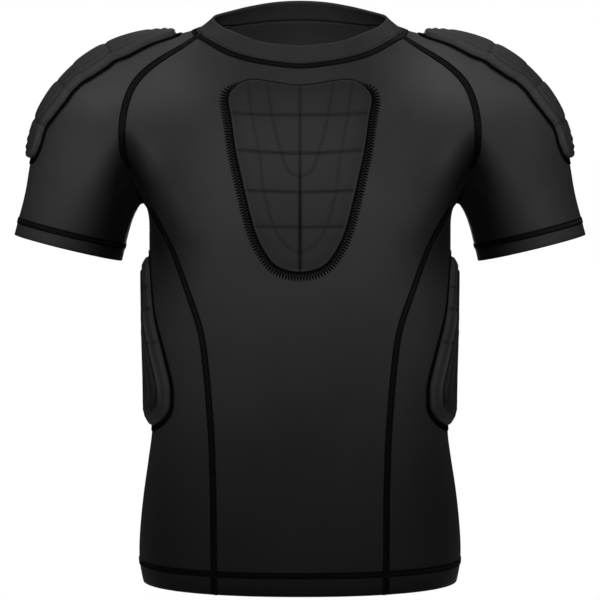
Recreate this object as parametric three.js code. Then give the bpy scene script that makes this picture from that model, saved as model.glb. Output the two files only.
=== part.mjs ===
// Padded compression shirt with short raglan sleeves, filled out as it is when worn, with nobody in it.
// Millimetres, +Z up, the wearer faces -Y and the wearer's left is +X.
// The origin is in the middle of the body at the height where the cloth lies on the shoulders.
import * as THREE from "three";

// Cloth
const cloth = 1.5; // wall of the jersey
const foldedHem = 2.6; // turned hem, two layers
const neckbandWall = 2.4; // neckband, folded double
const seamGap = 0.3; // between two pieces at a seam
const padClearance = 0.8; // between a pad's back and the panel under it
const cuffHeight = 15;
const cuffRowLength = 46; // along the arm, of the last row of its table

// Overall
const hemLevel = -548; // bottom edge of the shirt
const armpit = { x: 155, y: 3, z: -167 };
// How softly the sleeve runs into the body under the arm, and in front and behind, and the depths between
// which that changes.
const blend = { under: 22, front: 60, from: 12, to: 46 };

// How many cells each panel has. Panels share their points along a seam.
const frontColumns = 16;
const sideColumns = 10;
const raglanRows = 9; // from the armpit to the neck
const bodyRows = 22; // from the armpit to the hem, of which the last is the hem's fold
const sideEase = 0.9; // its rows are longer near the armpit
const neckSleeveCells = 3; // of a sleeve's end at the neck
const sleeveRows = 14;

// The figure inside the shirt, from below the hem to the neck: half its width, its reach forward and back,
// and how square its section is.
const torsoSections = [
  { z: -580, half: 154, front: 101, back: 103, power: 2.2 },
  { z: -548, half: 157.5, front: 102, back: 104, power: 2.2 },
  { z: -538, half: 160, front: 103, back: 105, power: 2.2 },
  { z: -520, half: 161.5, front: 103, back: 104, power: 2.2 },
  { z: -480, half: 159, front: 100, back: 98, power: 2.2 },
  { z: -430, half: 153, front: 95, back: 87, power: 2.2 },
  { z: -395, half: 148, front: 93, back: 82, power: 2.2 },
  { z: -350, half: 148, front: 94, back: 82, power: 2.25 },
  { z: -300, half: 149, front: 97, back: 88, power: 2.3 },
  { z: -250, half: 149.5, front: 101, back: 96, power: 2.35 },
  { z: -200, half: 150.2, front: 104, back: 102, power: 2.35 },
  { z: -167, half: 149.5, front: 105, back: 104, power: 2.3 },
  { z: -140, half: 146, front: 104, back: 105, power: 2.25 },
  { z: -110, half: 141, front: 99, back: 105, power: 2.2 },
  { z: -80, half: 133, front: 89, back: 104, power: 2.15 },
  { z: -55, half: 124, front: 77, back: 102, power: 2.1 },
  { z: -36, half: 116, front: 64, back: 99, power: 2 },
  { z: -18, half: 108, front: 50, back: 95, power: 2 },
  { z: 2, half: 98, front: 37, back: 89, power: 2 },
  { z: 18, half: 85, front: 27, back: 80, power: 2 },
  { z: 36, half: 70, front: 18, back: 68, power: 2 },
  { z: 60, half: 50, front: 10, back: 50, power: 2 },
];

// The shoulder and arm on the +X side, from inside the neck to past the cuff: the middle of each section,
// its radius, and its depth as a share of that radius.
const armSections = [
  { x: 40, y: 12, z: -48, radius: 38, depth: 1.25 },
  { x: 92, y: 10, z: -50, radius: 46, depth: 1.18 },
  { x: 138, y: 8, z: -56, radius: 53, depth: 1.1 },
  { x: 177, y: 6, z: -74, radius: 57, depth: 1.02 },
  { x: 201, y: 5, z: -106, radius: 60, depth: 0.96 },
  { x: 212, y: 4, z: -140, radius: 58, depth: 0.92 },
  { x: 220.5, y: 3, z: -172, radius: 55, depth: 0.9 },
  { x: 231.5, y: 2, z: -214.5, radius: 55.2, depth: 0.88 },
  { x: 242.5, y: 1, z: -262, radius: 56, depth: 0.88 },
];

// Where the neckband is sewn on, and its free top edge, from the middle of the front round to the back.
const neckline = [
  { x: 0, y: -63, z: -35, topX: 0, topY: -49, topZ: -19.5 },
  { x: 43, y: -57, z: -30.5, topX: 41, topY: -44, topZ: -16 },
  { x: 76, y: -41, z: -20, topX: 68, topY: -27, topZ: -5 },
  { x: 96, y: -18, z: -6, topX: 83, topY: -6, topZ: 10 },
  { x: 101, y: 10, z: 2, topX: 86, topY: 12, topZ: 18.5 },
  { x: 92, y: 42, z: 8, topX: 79, topY: 36, topZ: 25 },
  { x: 66, y: 66, z: 13.5, topX: 58, topY: 55, topZ: 31.2 },
  { x: 35, y: 79, z: 18, topX: 31, topY: 66, topZ: 35.6 },
  { x: 0, y: 83.5, z: 19.5, topX: 0, topY: 70, topZ: 37 },
];
const raglanAtNeck = { front: 3, back: 6 }; // rows of the neckline where the raglan seams meet it

// Seams as seen from the front, down from the neck to the armpit.
const frontRaglan = [
  { x: 96, z: -6 },
  { x: 134, z: -28.5 },
  { x: 160, z: -51 },
  { x: 172, z: -82 },
  { x: 173.5, z: -111 },
  { x: 170, z: -135 },
  { x: 161, z: -154.7 },
];
const backRaglan = [
  { x: 66, z: 13.5 },
  { x: 112, z: -19 },
  { x: 146, z: -50 },
  { x: 164, z: -82 },
  { x: 170, z: -111 },
  { x: 169, z: -135 },
  { x: 161, z: -154.7 },
];
// Side seams, from the armpit to the hem, the same on the front and the back.
const sideSeam = [
  { x: 161, z: -154.7 },
  { x: 146.3, z: -175 },
  { x: 142, z: -184 },
  { x: 133, z: -199 },
  { x: 124, z: -214 },
  { x: 107.4, z: -258 },
  { x: 95.7, z: -294 },
  { x: 90.3, z: -335 },
  { x: 87, z: -378.5 },
  { x: 84, z: -447 },
  { x: 83, z: hemLevel },
];

// Chest pad: lines across it, from its top edge down. Each has its height in the middle and at the side,
// half its width, and where the legs of the inner and the outer U cross it. A groove runs right across.
const chestPad = { thickness: 5.4, edge: 2, groove: 3, lobeRise: 6.4, lobeAt: 0.68, cornerDrop: 16.4 };
const chestLines = [
  { z: -57.3, sideZ: -57.3, half: 70.2, inner: 33, outer: 52, groove: false },
  { z: -93, sideZ: -85.4, half: 66.1, inner: 24, outer: 45.2, groove: true },
  { z: -122.8, sideZ: -118.9, half: 61.3, inner: 16.3, outer: 40.2, groove: true },
  { z: -145, sideZ: -138, half: 57, inner: 9, outer: 36.5, groove: false },
  { z: -158.2, sideZ: -155.1, half: 53.2, inner: 10, outer: 33.9, groove: true },
  { z: -189.7, sideZ: -188.8, half: 45, inner: 10, outer: 23.9, groove: true },
  { z: -211.5, sideZ: -207, half: 38.5, inner: 5, outer: 12, groove: false },
  { z: -234.7, sideZ: -226, half: 27, inner: 4, outer: 10, groove: false },
];
const chestUs = { inner: { leg: 1, endsAt: 3 }, outer: { leg: 2, endsAt: 6 } };

// Shoulder pad: lines across it, from the neck to the upper arm. Each has its place along the arm's sections,
// counted in rows of that table, and the pad's half width as an angle round the arm.
const shoulderPad = { thickness: 6.4, edge: 2.2, groove: 4.8 };
const shoulderLines = [
  { along: 1.55, angle: 25, lean: 4, groove: false },
  { along: 1.7, angle: 34, lean: 4, groove: false },
  { along: 2.4, angle: 49, lean: 2, groove: true },
  { along: 3.25, angle: 47, lean: 0, groove: true },
  { along: 4.1, angle: 37, lean: 0, groove: true },
  { along: 4.93, angle: 27, lean: 0, groove: false },
  { along: 5.05, angle: 18, lean: 0, groove: false },
];

// Rib pad: lines across it from the top down, with its reach in front of and behind the middle of the body.
const ribPad = { thickness: 6.8, edge: 2.2, groove: 4.9 };
const ribLines = [
  { z: -223, front: 12, back: 24, groove: false },
  { z: -230, front: 19, back: 32, groove: false },
  { z: -251, front: 25, back: 36, groove: true },
  { z: -274, front: 31, back: 41, groove: true },
  { z: -308, front: 45, back: 50, groove: true },
  { z: -350, front: 55, back: 58, groove: false },
  { z: -372, front: 53, back: 56, groove: false },
  { z: -384, front: 42, back: 45, groove: false },
  { z: -391, front: 22, back: 25, groove: false },
];

const V = (x, y, z) => new THREE.Vector3(x, y, z);

// Value of a column of a table, smooth in the key column, which rises or falls all the way.
function lookUp(table, key, at, column) {
  const up = table[table.length - 1][key] > table[0][key] ? 1 : -1;
  let i = 1;
  while (i < table.length - 2 && (at - table[i][key]) * up > 0) i += 1;
  if ((at - table[i][key]) * up > 0) i += 1;
  const [a, b] = [table[i - 1], table[i]];
  const slope = (m) => {
    const low = table[Math.max(m - 1, 0)];
    const high = table[Math.min(m + 1, table.length - 1)];
    return (high[column] - low[column]) / (high[key] - low[key]);
  };
  const step = b[key] - a[key];
  const t = THREE.MathUtils.clamp((at - a[key]) / step, 0, 1);
  const [t2, t3] = [t * t, t * t * t];
  return (
    (2 * t3 - 3 * t2 + 1) * a[column] +
    (t3 - 2 * t2 + t) * step * slope(i - 1) +
    (3 * t2 - 2 * t3) * b[column] +
    (t3 - t2) * step * slope(i)
  );
}

// Distance outside the torso, measured level from its middle line.
const levels = new Map();
function torsoLevel(z) {
  const at = Math.round(z * 4) / 4;
  if (!levels.has(at)) {
    const section = {};
    for (const column of ["half", "front", "back", "power"]) {
      section[column] = lookUp(torsoSections, "z", at, column);
    }
    levels.set(at, section);
  }
  return levels.get(at);
}
function torsoDistance(p) {
  const below = torsoLevel(Math.floor(p.z * 4) / 4);
  const above = torsoLevel(Math.floor(p.z * 4) / 4 + 0.25);
  const t = p.z * 4 - Math.floor(p.z * 4);
  const mix = (column) => below[column] * (1 - t) + above[column] * t;
  const depth = p.y < 0 ? mix("front") : mix("back");
  const power = mix("power");
  const share = Math.pow(
    Math.pow(Math.abs(p.x) / mix("half"), power) + Math.pow(Math.abs(p.y) / depth, power),
    1 / power,
  );
  const reach = Math.hypot(p.x, p.y);
  return share < 1e-6 ? -depth : reach - reach / share;
}

// Points close together along the middle of the arm.
const armSteps = 64;
const armLine = new THREE.CatmullRomCurve3(armSections.map((s) => V(s.x, s.y, s.z)));
const armPoints = [];
for (let i = 0; i <= armSteps; i += 1) {
  const row = (i / armSteps) * (armSections.length - 1);
  const rows = armSections.map((s, n) => ({ n, radius: s.radius, depth: s.depth }));
  armPoints.push({
    middle: armLine.getPoint(i / armSteps),
    radius: lookUp(rows, "n", row, "radius"),
    depth: lookUp(rows, "n", row, "depth"),
  });
}
function armDistance(p) {
  const ball = (s) =>
    Math.hypot(Math.abs(p.x) - s.middle.x, (p.y - s.middle.y) / s.depth, p.z - s.middle.z) - s.radius;
  let [least, nearest] = [Infinity, 0];
  armPoints.forEach((s, i) => {
    const d = ball(s);
    if (d < least) [least, nearest] = [d, i];
  });
  if (nearest === 0 || nearest === armSteps) return least;
  const before = ball(armPoints[nearest - 1]);
  const after = ball(armPoints[nearest + 1]);
  const bend = before - 2 * least + after;
  return bend > 1e-9 ? least - (before - after) ** 2 / (8 * bend) : least;
}

// Distance outside the figure: torso and arms run softly into each other.
function figureDistance(p) {
  const [torso, arm] = [torsoDistance(p), armDistance(p)];
  const forward = THREE.MathUtils.smoothstep(Math.abs(p.y), blend.from, blend.to);
  const soft = blend.under + (blend.front - blend.under) * forward;
  const near = Math.max(soft - Math.abs(torso - arm), 0) / soft;
  return Math.min(torso, arm) - (near * near * soft) / 4;
}
function slopeAt(p) {
  const h = 0.5;
  return V(
    figureDistance(V(p.x + h, p.y, p.z)) - figureDistance(V(p.x - h, p.y, p.z)),
    figureDistance(V(p.x, p.y + h, p.z)) - figureDistance(V(p.x, p.y - h, p.z)),
    figureDistance(V(p.x, p.y, p.z + h)) - figureDistance(V(p.x, p.y, p.z - h)),
  ).divideScalar(2 * h);
}
const normalAt = (p) => slopeAt(p).normalize();

// The nearest point of the figure to a point that is close to it already.
function ontoFigure(p, steps = 3) {
  const at = p.clone();
  for (let i = 0; i < steps; i += 1) {
    const slope = slopeAt(at);
    at.addScaledVector(slope, -figureDistance(at) / slope.lengthSq());
  }
  return at;
}
// The first point of the figure on a line that starts inside it.
function outFrom(inside, direction) {
  const stride = 3;
  let far = stride;
  const place = (d) => inside.clone().addScaledVector(direction, d);
  while (figureDistance(place(far)) < 0 && far < 400) far += stride;
  let near = far - stride;
  for (let i = 0; i < 18; i += 1) {
    const middle = (near + far) / 2;
    if (figureDistance(place(middle)) < 0) near = middle;
    else far = middle;
  }
  return place((near + far) / 2);
}

// A seam as seen from the front, laid on the front (side -1) or the back (side 1) of the figure.
// With an ease under 1 its first cells are the longer ones.
function seamOnFigure(table, side, cells, ease = 1) {
  const line = new THREE.SplineCurve(table.map((row) => new THREE.Vector2(row.x, row.z)));
  const points = [];
  for (let i = 0; i <= cells; i += 1) {
    const q = line.getPointAt((i / cells) ** ease);
    points.push(outFrom(V(q.x, 0, q.y), V(0, side, 0)));
  }
  return points;
}
// A smooth line through some points, cut into equal cells and laid on the figure.
function lineOnFigure(points, cells) {
  return new THREE.CatmullRomCurve3(points).getSpacedPoints(cells).map((p) => ontoFigure(p, 6));
}
const mirrored = (p) => V(-p.x, p.y, p.z);

// Evens out a line on the figure between its two ends.
function relaxed(points, passes) {
  const line = points.map((p) => p.clone());
  for (let pass = 0; pass < passes; pass += 1) {
    for (let i = 1; i < line.length - 1; i += 1) {
      line[i] = ontoFigure(line[i - 1].clone().add(line[i + 1]).multiplyScalar(0.5), 1);
    }
  }
  return line;
}

// Grids are rows of points. The first and last rows and columns stay, and the others spread evenly
// and keep to the figure, as a stretched cloth does. Hold is how strongly they keep to where they began.
function settle(grid, { passes, firstRow = 1, lastRow = grid.length - 2, round = false, hold = 0 }) {
  const columns = grid[0].length;
  const began = grid.map((row) => [...row]);
  for (let pass = 0; pass < passes; pass += 1) {
    for (let i = firstRow; i <= lastRow; i += 1) {
      for (let j = round ? 0 : 1; j < (round ? columns : columns - 1); j += 1) {
        const middle = V(0, 0, 0)
          .add(grid[i - 1][j])
          .add(grid[i + 1][j])
          .add(grid[i][(j + columns - 1) % columns])
          .add(grid[i][(j + 1) % columns])
          .multiplyScalar(0.25)
          .lerp(began[i][j], hold);
        grid[i][j] = ontoFigure(middle, 1);
      }
    }
  }
  const stays = (i, j) => i < firstRow || i > lastRow || (!round && (j === 0 || j === columns - 1));
  return grid.map((row, i) => row.map((p, j) => (stays(i, j) ? p : ontoFigure(p, 3))));
}

// Moves the points of a grid's edges in by half a seam gap, square to the seam and to the normal.
function trimEdges(grid, normals, { round = false, free = [] } = {}) {
  const [rows, columns] = [grid.length, grid[0].length];
  const moved = grid.map((row) => row.map((p) => p.clone()));
  const trim = ([i, j], [innerI, innerJ], before, after) => {
    const across = normals[i][j].clone().cross(after.clone().sub(before)).setLength(seamGap / 2);
    const inward = across.dot(grid[innerI][innerJ].clone().sub(grid[i][j])) < 0 ? -1 : 1;
    moved[i][j].addScaledVector(across, inward);
  };
  for (let j = 0; j < columns; j += 1) {
    const before = round ? (j + columns - 1) % columns : Math.max(j - 1, 0);
    const after = round ? (j + 1) % columns : Math.min(j + 1, columns - 1);
    if (!free.includes("first")) trim([0, j], [1, j], grid[0][before], grid[0][after]);
    const last = rows - 1;
    if (!free.includes("last")) trim([last, j], [last - 1, j], grid[last][before], grid[last][after]);
  }
  for (let i = 0; i < rows && !round; i += 1) {
    const [before, after] = [Math.max(i - 1, 0), Math.min(i + 1, rows - 1)];
    trim([i, 0], [i, 1], grid[before][0], grid[after][0]);
    trim([i, columns - 1], [i, columns - 2], grid[before][columns - 1], grid[after][columns - 1]);
  }
  return moved;
}

// A closed wall between an outer grid and an inner one with the same rows and columns. Each cell is split
// along its shorter diagonal, measured on the untrimmed points, so that two panels split alike at their seam.
function wallGeometry(outer, inner, { round = false, untrimmed = [outer, inner] } = {}) {
  const [rows, columns] = [outer.length, outer[0].length];
  const places = [...outer.flat(), ...inner.flat()];
  const measured = untrimmed.flat(2);
  const at = (layer, i, j) => layer * rows * columns + i * columns + (j % columns);
  const across = round ? columns : columns - 1;
  const corners = [];
  const quad = (a, b, c, d) => {
    const split = measured[a].distanceTo(measured[c]) < measured[b].distanceTo(measured[d]);
    corners.push(...(split ? [a, b, c, a, c, d] : [a, b, d, b, c, d]));
  };
  for (let i = 0; i < rows - 1; i += 1) {
    for (let j = 0; j < across; j += 1) {
      quad(at(0, i, j), at(0, i, j + 1), at(0, i + 1, j + 1), at(0, i + 1, j));
      quad(at(1, i, j), at(1, i + 1, j), at(1, i + 1, j + 1), at(1, i, j + 1));
    }
    if (round) continue;
    quad(at(0, i, 0), at(0, i + 1, 0), at(1, i + 1, 0), at(1, i, 0));
    quad(at(0, i, across), at(1, i, across), at(1, i + 1, across), at(0, i + 1, across));
  }
  for (let j = 0; j < across; j += 1) {
    quad(at(0, 0, j), at(1, 0, j), at(1, 0, j + 1), at(0, 0, j + 1));
    quad(at(0, rows - 1, j), at(0, rows - 1, j + 1), at(1, rows - 1, j + 1), at(1, rows - 1, j));
  }
  let volume = 0;
  for (let n = 0; n < corners.length; n += 3) {
    const [a, b, c] = corners.slice(n, n + 3).map((m) => places[m]);
    volume += a.dot(b.clone().cross(c));
  }
  if (volume < 0) corners.reverse();
  const geometry = new THREE.BufferGeometry();
  geometry.setFromPoints(places);
  geometry.setIndex(corners);
  geometry.computeVertexNormals();
  return geometry;
}

// The normal of each point of the cloth, from the cells of all the panels that meet there, so that the inner
// sides of two panels meet at their seam too.
const clothNormals = new Map();
const placeName = (p) => p.toArray().map((v) => Math.round(v * 10)).join();
function gatherNormals(grid, { round = false } = {}) {
  const columns = grid[0].length;
  const cells = [];
  for (let i = 1; i < grid.length; i += 1) {
    for (let j = round ? 0 : 1; j < columns; j += 1) {
      const before = (j + columns - 1) % columns;
      const [a, b, c, d] = [grid[i - 1][before], grid[i - 1][j], grid[i][j], grid[i][before]];
      const normal = c.clone().sub(a).cross(d.clone().sub(b)).normalize();
      cells.push({ corners: [a, b, c, d], normal });
    }
  }
  const facing = Math.sign(cells.reduce((sum, cell) => sum + cell.normal.dot(normalAt(cell.corners[0])), 0));
  for (const { corners, normal } of cells) {
    for (const corner of corners) {
      const name = placeName(corner);
      if (!clothNormals.has(name)) clothNormals.set(name, V(0, 0, 0));
      clothNormals.get(name).addScaledVector(normal, facing);
    }
  }
}

// Cloth laid on the figure: its outer side is the grid, and its inner side is one wall further in.
function clothGeometry(grid, { wall = () => cloth, round = false, free = [] } = {}) {
  const normals = grid.map((row) => row.map((p) => clothNormals.get(placeName(p)).clone().normalize()));
  const within = (points, depth) =>
    points.map((row, i) => row.map((p, j) => p.clone().addScaledVector(normals[i][j], -depth(i, j))));
  const outer = trimEdges(grid, normals, { round, free });
  const untrimmed = [grid, within(grid, () => cloth)];
  return wallGeometry(outer, within(outer, wall), { round, untrimmed });
}

// The outer and inner points of a pad laid on a panel: its back is just clear of the figure, and of the
// panel's flat cells where they stand out of it. Each point has its own thickness.
function padLayers(grid, thickness, panel) {
  const ray = new THREE.Raycaster();
  const above = 10;
  const seated = grid.map((row) =>
    row.map((p) => {
      const normal = normalAt(p);
      ray.set(p.clone().addScaledVector(normal, above), normal.clone().negate());
      const stands = above - ray.intersectObject(panel)[0].distance;
      return { normal, point: p.clone().addScaledVector(normal, Math.max(stands, 0)) };
    }),
  );
  const layer = (lift) =>
    seated.map((row, i) => row.map((at, j) => at.point.clone().addScaledVector(at.normal, lift(i, j))));
  return [layer((i, j) => padClearance + thickness[i][j]), layer(() => padClearance)];
}

// The neckline on the figure, by the rows of its table, which may be fractions.
const neckCurve = new THREE.CatmullRomCurve3(
  [neckline[1], ...neckline, neckline[neckline.length - 2]].map((row, i) =>
    V(i === 0 || i > neckline.length ? -row.x : row.x, row.y, row.z),
  ),
);
function neckPart(from, to, cells) {
  const points = [];
  for (let i = 0; i <= cells; i += 1) {
    const row = from + ((to - from) * i) / cells;
    points.push(ontoFigure(neckCurve.getPoint((row + 1) / (neckline.length + 1)), 6));
  }
  return points;
}

// Seams, on the +X side
const neck = {
  front: neckPart(0, raglanAtNeck.front, frontColumns / 2),
  sleeve: neckPart(raglanAtNeck.front, raglanAtNeck.back, neckSleeveCells),
  back: neckPart(raglanAtNeck.back, neckline.length - 1, frontColumns / 2),
};
const seams = {
  frontRaglan: seamOnFigure(frontRaglan, -1, raglanRows),
  backRaglan: seamOnFigure(backRaglan, 1, raglanRows),
  frontSide: seamOnFigure(sideSeam, -1, bodyRows, sideEase),
  backSide: seamOnFigure(sideSeam, 1, bodyRows, sideEase),
};
seams.frontRaglan[0] = neck.sleeve[0];
seams.backRaglan[0] = neck.sleeve[neckSleeveCells];
const underarmEnds = [seams.frontSide[0], seams.backSide[0]];
const underarmMiddle = ontoFigure(V(armpit.x, armpit.y, armpit.z), 6);
seams.underarm = lineOnFigure([underarmEnds[0], underarmMiddle, underarmEnds[1]], sideColumns);
[seams.underarm[0], seams.underarm[sideColumns]] = underarmEnds;
seams.underarm = relaxed(seams.underarm, 60);

// A panel of the body between its -X and +X edges. Side is -1 for the front and 1 for the back.
function bodyPanel(edge, neckHalf, side) {
  const centreZ = neckHalf[0].z;
  const rows = edge.map((end, i) => {
    const angle = Math.atan2(end.x, end.y * side);
    const share = Math.min(i / raglanRows, 1);
    const middleZ = i <= raglanRows ? centreZ + (edge[raglanRows].z - centreZ) * share : end.z;
    const row = [];
    for (let j = 0; j <= frontColumns; j += 1) {
      const u = (j / frontColumns) * 2 - 1;
      const z = middleZ + (end.z - middleZ) * u * u;
      const turn = angle * u;
      row.push(outFrom(V(0, 0, z), V(Math.sin(turn), side * Math.cos(turn), 0)));
    }
    [row[0], row[frontColumns]] = [mirrored(end), end];
    return row;
  });
  rows[0] = [...neckHalf.slice(1).reverse().map(mirrored), ...neckHalf];
  return settle(rows, { passes: 25, lastRow: rows.length - 3 });
}
const frontEdge = [...seams.frontRaglan, ...seams.frontSide.slice(1)];
const backEdge = [...seams.backRaglan, ...seams.backSide.slice(1)];
const frontGrid = bodyPanel(frontEdge, neck.front, -1);
const backGrid = bodyPanel(backEdge, [...neck.back].reverse(), 1);

// The side panel on the +X side, from the armpit down, from the front seam to the back one.
const sideGrid = settle(
  seams.frontSide.map((front, i) => {
    if (i === 0) return seams.underarm;
    const back = seams.backSide[i];
    const [from, to] = [Math.atan2(front.x, -front.y), Math.atan2(back.x, -back.y)];
    const row = [front];
    for (let j = 1; j < sideColumns; j += 1) {
      const turn = from + ((to - from) * j) / sideColumns;
      row.push(outFrom(V(0, 0, front.z), V(Math.sin(turn), -Math.cos(turn), 0)));
    }
    return [...row, back];
  }),
  { passes: 25, lastRow: bodyRows - 2 },
);

// The middle of the arm at a row of its table, which may be a fraction, and the directions square to it.
function armAt(row) {
  const t = row / (armSections.length - 1);
  const tangent = armLine.getTangent(t);
  return { middle: armLine.getPoint(t), out: V(-tangent.z, 0, tangent.x).normalize() };
}
function armDirection(arm, turn) {
  return arm.out.clone().multiplyScalar(Math.cos(turn)).add(V(0, Math.sin(turn), 0));
}
// The place of a point along the arm and its angle round it, from the top towards the back.
function armPlace(p) {
  let [row, least] = [0, Infinity];
  for (let i = 0; i <= armSteps; i += 1) {
    const middle = armPoints[i].middle;
    const away = Math.hypot(p.x - middle.x, p.z - middle.z);
    if (away < least) [row, least] = [(i / armSteps) * (armSections.length - 1), away];
  }
  const arm = armAt(row);
  const from = p.clone().sub(arm.middle);
  return { row, turn: Math.atan2(from.y, from.dot(arm.out)) };
}

// The sleeve on the +X side: rings from the neck, the raglan seams and the underarm to the cuff.
const sleeveTop = [
  ...neck.sleeve,
  ...seams.backRaglan.slice(1),
  ...[...seams.underarm].reverse().slice(1),
  ...[...seams.frontRaglan].reverse().slice(1, -1),
];
const cuffRow = 7;
const foldRow = cuffRow - cuffHeight / cuffRowLength;
function sleeveRings() {
  const cells = sleeveTop.length;
  const rings = [sleeveTop];
  for (let i = 1; i <= sleeveRows; i += 1) rings.push([]);
  sleeveTop.forEach((p, j) => {
    const top = armPlace(p);
    const end = ((j - neckSleeveCells / 2) / cells) * 2 * Math.PI;
    const from = top.turn + 2 * Math.PI * Math.round((end - top.turn) / (2 * Math.PI));
    for (let i = 1; i <= sleeveRows; i += 1) {
      const t = i / (sleeveRows - 1);
      const row = i === sleeveRows ? cuffRow : top.row + (foldRow - top.row) * t;
      const arm = armAt(row);
      const turn = i >= sleeveRows - 1 ? end : from + (end - from) * t;
      rings[i].push(outFrom(arm.middle, armDirection(arm, turn)));
    }
  });
  return settle(rings, { passes: 12, lastRow: sleeveRows - 2, round: true, hold: 0.35 });
}
const sleeveGrid = sleeveRings();

// The neckband: rings from its seam to its free edge.
const bandSeam = [
  ...neck.front,
  ...neck.sleeve.slice(1),
  ...neck.back.slice(1),
  ...[...neck.back].reverse().slice(1).map(mirrored),
  ...[...neck.sleeve].reverse().slice(1).map(mirrored),
  ...[...neck.front].reverse().slice(1, -1).map(mirrored),
];
const bandTopCurve = new THREE.CatmullRomCurve3(
  [
    ...neckline.map((row) => V(row.topX, row.topY, row.topZ)),
    ...neckline.slice(1, -1).reverse().map((row) => V(-row.topX, row.topY, row.topZ)),
  ],
  true,
);
function bandRings() {
  const half = neckline.length - 1;
  const counts = [frontColumns / 2, neckSleeveCells, frontColumns / 2];
  const spans = [0, raglanAtNeck.front, raglanAtNeck.back, half];
  const places = [];
  counts.forEach((count, n) => {
    for (let k = 0; k < count; k += 1) places.push(spans[n] + ((spans[n + 1] - spans[n]) * k) / count);
  });
  const around = [...places, half, ...places.slice(1).reverse().map((row) => 2 * half - row)];
  const top = around.map((row) => ontoFigure(bandTopCurve.getPoint(row / (2 * half)), 6));
  const middle = top.map((p, j) => {
    const q = ontoFigure(p.clone().add(bandSeam[j]).multiplyScalar(0.5), 3);
    return q.addScaledVector(normalAt(q), 0.6);
  });
  return [bandSeam, middle, top];
}

const group = new THREE.Group();
const jersey = new THREE.MeshStandardMaterial({ color: 0x2b2b2d, roughness: 0.85 });
const padding = new THREE.MeshStandardMaterial({ color: 0x303033, roughness: 0.8 });
function add(name, geometry, material) {
  const mesh = new THREE.Mesh(geometry, material);
  mesh.name = name;
  group.add(mesh);
  return mesh;
}
// The same piece on the other side.
const flipGrid = (grid) => grid.map((row) => row.map(mirrored));

const bandGrid = bandRings();
[frontGrid, backGrid, sideGrid, flipGrid(sideGrid)].forEach((grid) => gatherNormals(grid));
[sleeveGrid, flipGrid(sleeveGrid), bandGrid].forEach((grid) => gatherNormals(grid, { round: true }));

const hemWall = (rows) => (i) => (i >= rows - 2 ? foldedHem : cloth);
const bodyHem = { wall: hemWall(frontGrid.length), free: ["last"] };
const frontPanel = add("front", clothGeometry(frontGrid, bodyHem), jersey);
add("back", clothGeometry(backGrid, bodyHem), jersey);
const sides = { left: (grid) => grid, right: flipGrid };
const [sidePanels, sleeves] = [{}, {}];
for (const [side, flip] of Object.entries(sides)) {
  const [panel, sleeve] = [flip(sideGrid), flip(sleeveGrid)];
  const sleeveHem = { wall: hemWall(sleeve.length), round: true, free: ["last"] };
  const sideCloth = clothGeometry(panel, { wall: hemWall(panel.length), free: ["last"] });
  const sleeveCloth = clothGeometry(sleeve, sleeveHem);
  sidePanels[side] = add(`side_${side}`, sideCloth, jersey);
  sleeves[side] = add(`sleeve_${side}`, sleeveCloth, jersey);
}
add("neckband", clothGeometry(bandGrid, { wall: () => neckbandWall, round: true, free: ["last"] }), jersey);

// Pads are quilted. Each groove or edge has a line at the foot of its sides, and more lie between at about
// the pitch. Each place says which main line it is, or -1.
function quiltPlaces(positions, { inset, pitch, plain = () => false }) {
  const last = positions.length - 1;
  const places = [];
  positions.slice(1).forEach((to, n) => {
    const from = positions[n];
    const step = Math.sign(to - from) * Math.min(inset, Math.abs(to - from) * 0.3);
    places.push({ at: from, line: n });
    if (!plain(n) || n === 0) places.push({ at: from + step, line: -1 });
    const parts = Math.round(Math.abs(to - from) / pitch);
    for (let k = 1; k < parts; k += 1) places.push({ at: from + ((to - from) * k) / parts, line: -1 });
    if (!plain(n + 1) || n + 1 === last) places.push({ at: to - step, line: -1 });
  });
  return [...places, { at: positions[last], line: last }];
}

// Chest pad
function chestPadGeometry() {
  const levels = quiltPlaces(chestLines.map((line) => line.z), { inset: 3, pitch: 16 });
  const [top, cornersEnd] = [chestLines[0].z, chestLines[1].z];
  const tags = [];
  const grid = levels.map(({ at: z, line }) => {
    const read = (column) => lookUp(chestLines, "z", z, column);
    const columns = quiltColumns([0, read("inner"), read("outer"), read("half")]);
    const fade = Math.max(1 - (top - z) / (top - cornersEnd), 0);
    const row = columns.map(({ at: x }) => {
      const share = x / read("half");
      const toLobe = Math.min(share / chestPad.lobeAt, 1);
      const toCorner = Math.max(share - chestPad.lobeAt, 0) / (1 - chestPad.lobeAt);
      const rise = chestPad.lobeRise * toLobe * toLobe * (3 - 2 * toLobe);
      const drop = chestPad.cornerDrop * toCorner ** 2.2;
      const level = z + (read("sideZ") - z) * share ** 2.5 + (rise - drop) * fade;
      return outFrom(V(x, 0, level), V(0, -1, 0));
    });
    tags.push(columns.map((column, n) => ({ line, z, leg: column.line, n })));
    return [...row.slice(1).reverse().map(mirrored), ...row];
  });
  const thicknessOf = ({ line, z, leg, n }) => {
    if (line === 0 || line === chestLines.length - 1 || leg === 3) return chestPad.edge;
    const inU = Object.values(chestUs).some((u) => {
      const legHere = leg === u.leg && z >= chestLines[u.endsAt].z;
      return legHere || (line === u.endsAt && n <= u.leg * 4);
    });
    const grooved = leg === 0 || inU || (line > 0 && chestLines[line].groove);
    return grooved ? chestPad.groove : chestPad.thickness;
  };
  const thickness = tags.map((row) => {
    const half = row.map(thicknessOf);
    return [...half.slice(1).reverse(), ...half];
  });
  return wallGeometry(...padLayers(grid, thickness, frontPanel));
}
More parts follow.
